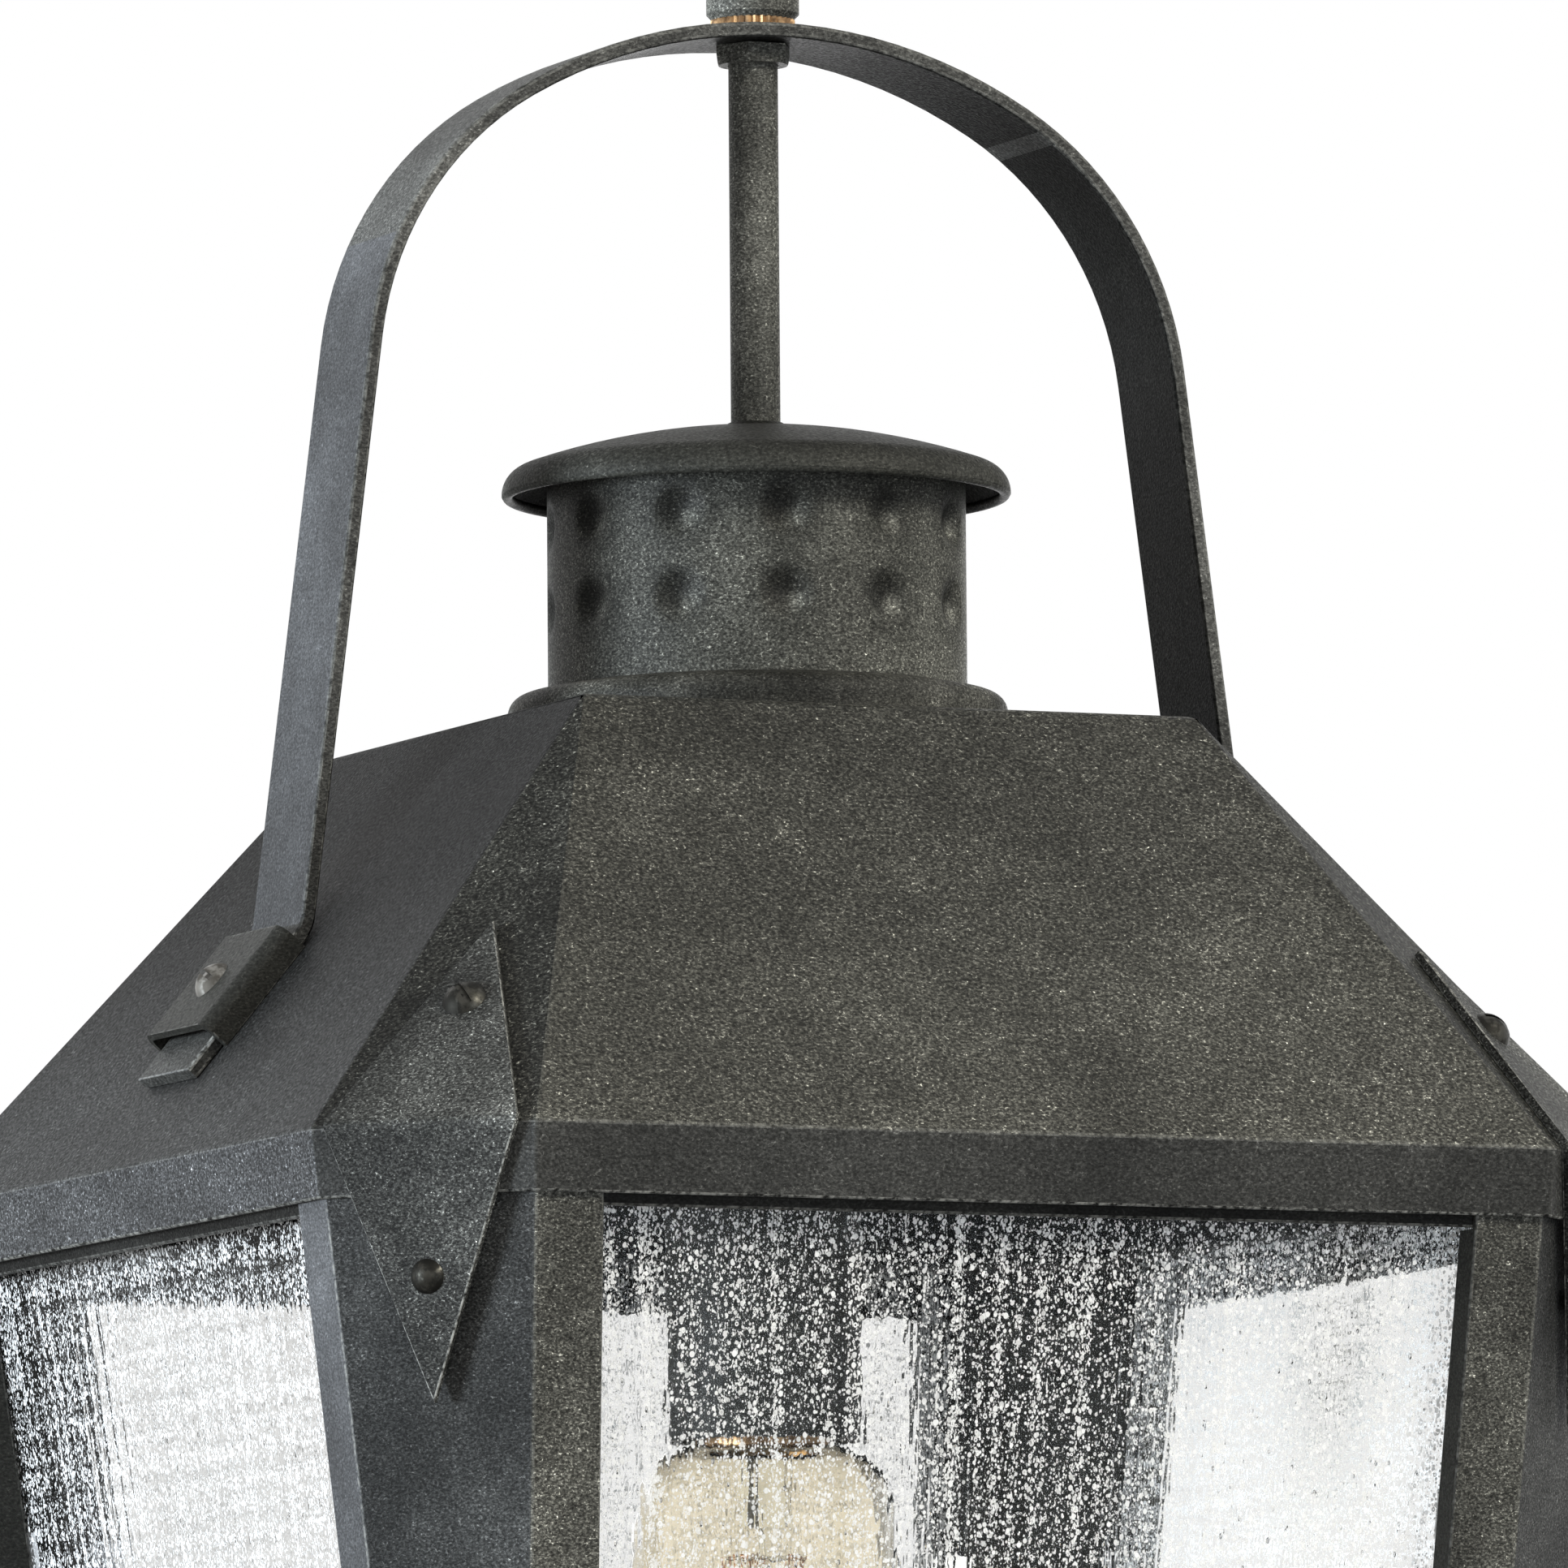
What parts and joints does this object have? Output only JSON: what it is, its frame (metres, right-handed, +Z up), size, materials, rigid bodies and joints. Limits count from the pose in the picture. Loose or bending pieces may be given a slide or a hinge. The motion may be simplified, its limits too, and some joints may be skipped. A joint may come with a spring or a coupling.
{
  "type": "hanging porch lantern",
  "caption": "Hanging porch lantern with seeded glass in a tapering square cage, a faceted roof with a dimpled chimney, corner straps, a bent strap arch and a threaded stem.",
  "frame": {"origin": "centre of the hanging eye's bore", "axes": "+Z up along the stem, +Y along the eye's bore, towards the back of the lantern; the arch lies in the plane of X and Z"},
  "size_m": [0.2908, 0.2908, 0.554],
  "materials": {
    "mottled_coat": "dark charcoal powder coat, mottled with fine light specks, low sheen",
    "dark_screws": "dark blued steel heads with a soft sheen",
    "zinc_steel": "bright zinc plate",
    "aged_brass": "browned brass, satin",
    "seeded_glass": "clear glass full of fine seeds and drawn bubbles",
    "porcelain": "glazed porcelain",
    "socket_brass": "plain rolled brass",
    "amber_glass": "amber tinted blown glass",
    "black_glass": "black vitrified glass",
    "solder": "dull solder",
    "clear_glass": "clear drawn glass",
    "brown_filament": "brown carbon thread"
  },
  "bodies": {
    "lantern": {"hanging_loop": "mottled_coat", "serrated_washer": "aged_brass", "arch_strap": "mottled_coat", "arch_lock_nut": "mottled_coat", "stem_pipe": "mottled_coat", "stem_lock_nuts": "zinc_steel", "chimney_cap": "mottled_coat", "chimney_tube": "mottled_coat", "chimney_flange": "mottled_coat", "roof_shell": "mottled_coat", "strap_clip_left": "mottled_coat", "strap_clip_right": "mottled_coat", "clip_screws": "dark_screws", "clip_nuts": "zinc_steel", "kite_front_left": "mottled_coat", "kite_front_right": "mottled_coat", "kite_back_left": "mottled_coat", "kite_back_right": "mottled_coat", "kite_screws": "dark_screws", "kite_nuts": "zinc_steel", "kite_rivets": "dark_screws", "cage_top_frame": "mottled_coat", "post_front_left": "mottled_coat", "post_front_right": "mottled_coat", "post_back_left": "mottled_coat", "post_back_right": "mottled_coat", "bottom_frame": "mottled_coat", "glass_front": "seeded_glass", "glass_back": "seeded_glass", "glass_left": "seeded_glass", "glass_right": "seeded_glass", "glass_clips": "zinc_steel", "socket_cup": "mottled_coat", "socket_strap": "zinc_steel", "socket_strap_screws": "zinc_steel", "socket_insulator": "porcelain", "socket_screw_shell": "socket_brass", "socket_contact": "socket_brass", "terminal_screws": "socket_brass"},
    "lamp": {"lamp_envelope": "amber_glass", "lamp_base": "socket_brass", "lamp_base_insulator": "black_glass", "lamp_contact": "solder", "lamp_mount": "clear_glass", "lamp_filament": "brown_filament"}
  },
  "joints": [
    {"name": "lamp_withdraw", "type": "slide", "parent": "lantern", "child": "lamp", "axis": [0, 0, -1], "range_m": [0, 0.25]}
  ]
}
